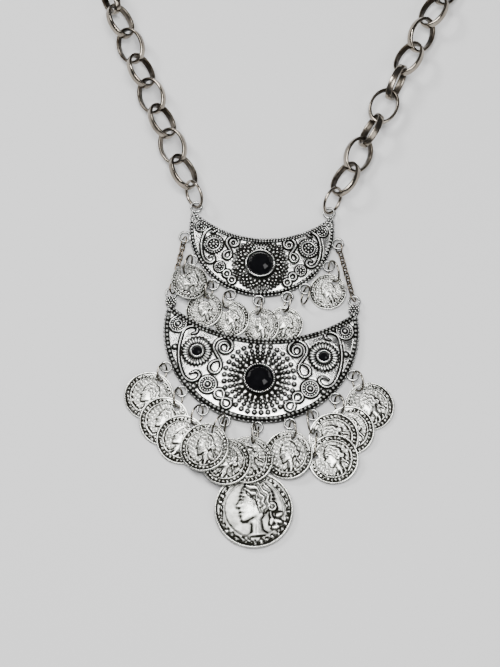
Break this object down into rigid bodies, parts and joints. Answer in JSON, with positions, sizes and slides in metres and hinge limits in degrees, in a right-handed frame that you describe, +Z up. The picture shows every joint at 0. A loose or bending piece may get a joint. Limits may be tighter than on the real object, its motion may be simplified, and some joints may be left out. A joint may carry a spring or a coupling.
{
  "type": "coin_necklace",
  "caption": "Antique silver coin necklace: two crescent plates with black stones, fringes of small coins, a large middle coin and a wide oval-link chain",
  "frame": {"origin": "middle of the neck opening, on the surface that the necklace lies on", "axes": "+Y points from the pendant towards the clasp, +X to the right as the pendant is read, +Z up from the surface"},
  "size_m": [0.1424, 0.3022, 0.0099],
  "materials": {
    "cast_metal": "antique silver plate, bright on the raised ornament and dark in the recesses",
    "coin_metal": "worn antique silver plate with dark recesses",
    "chain_metal": "warm antique nickel, polished",
    "black_stone": "black faceted stone, polished"
  },
  "bodies": {
    "root": {"big_coin": "coin_metal", "chain_left": "chain_metal", "chain_right": "chain_metal", "clasp": "chain_metal", "corner_ring_left": "chain_metal", "corner_ring_right": "chain_metal", "link_big_coin": "chain_metal", "link_lower_coin_5": "chain_metal", "link_lower_coin_8": "chain_metal", "lower_coin_1": "coin_metal", "lower_coin_10": "coin_metal", "lower_coin_11": "coin_metal", "lower_coin_2": "coin_metal", "lower_coin_3": "coin_metal", "lower_coin_4": "coin_metal", "lower_coin_5": "coin_metal", "lower_coin_6": "coin_metal", "lower_coin_7": "coin_metal", "lower_coin_8": "coin_metal", "lower_coin_9": "coin_metal", "lower_left_stone": "black_stone", "lower_plate": "cast_metal", "lower_right_stone": "black_stone", "lower_stone": "black_stone", "ring_empty": "chain_metal", "ring_lower_coin_1": "chain_metal", "ring_lower_coin_10": "chain_metal", "ring_lower_coin_11": "chain_metal", "ring_lower_coin_2": "chain_metal", "ring_lower_coin_3": "chain_metal", "ring_lower_coin_4": "chain_metal", "ring_lower_coin_6": "chain_metal", "ring_lower_coin_7": "chain_metal", "ring_lower_coin_9": "chain_metal", "ring_upper_coin_1": "chain_metal", "ring_upper_coin_2": "chain_metal", "ring_upper_coin_3": "chain_metal", "ring_upper_coin_4": "chain_metal", "ring_upper_coin_5": "chain_metal", "ring_upper_coin_6": "chain_metal", "side_chain_left": "chain_metal", "side_chain_right": "chain_metal", "upper_coin_1": "coin_metal", "upper_coin_2": "coin_metal", "upper_coin_3": "coin_metal", "upper_coin_4": "coin_metal", "upper_coin_5": "coin_metal", "upper_coin_6": "coin_metal", "upper_plate": "cast_metal", "upper_stone": "black_stone"}
  },
  "joints": []
}
